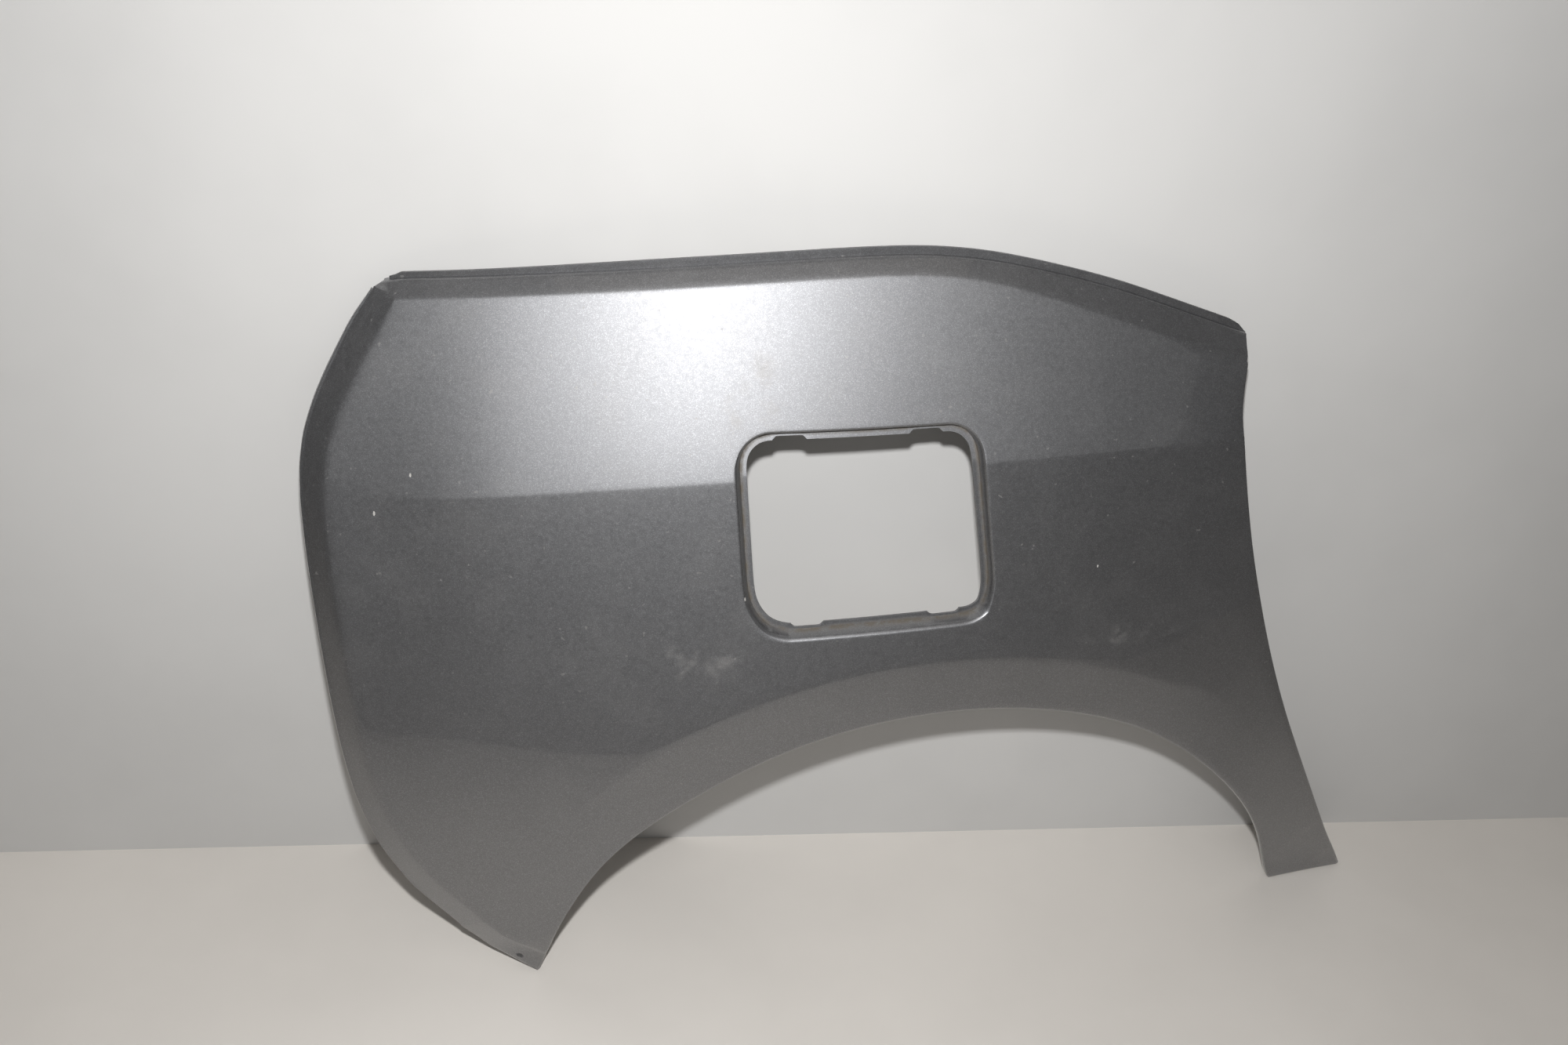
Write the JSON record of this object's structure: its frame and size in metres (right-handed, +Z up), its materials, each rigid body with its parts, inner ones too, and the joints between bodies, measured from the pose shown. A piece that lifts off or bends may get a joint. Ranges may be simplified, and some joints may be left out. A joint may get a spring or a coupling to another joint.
{
  "type": "car rear quarter panel",
  "caption": "Rear quarter panel of a small car: a painted body skin with a wheel arch, a recessed flap opening and edges folded in to fix it to the body.",
  "frame": {"origin": "middle of the belt flange's flat pad, on its inner face, above the middle of the wheel arch", "axes": "+X along the car to its front, where the door edge is; +Y inward, away from the painted face; +Z up, as the panel stands on its tail tip and its foot"},
  "size_m": [1.0015, 0.1643, 0.6403],
  "materials": {
    "panel_paint": "dark grey metallic paint under a gloss clear coat"
  },
  "bodies": {
    "root": {"rear_side_panel": "panel_paint"}
  },
  "joints": []
}
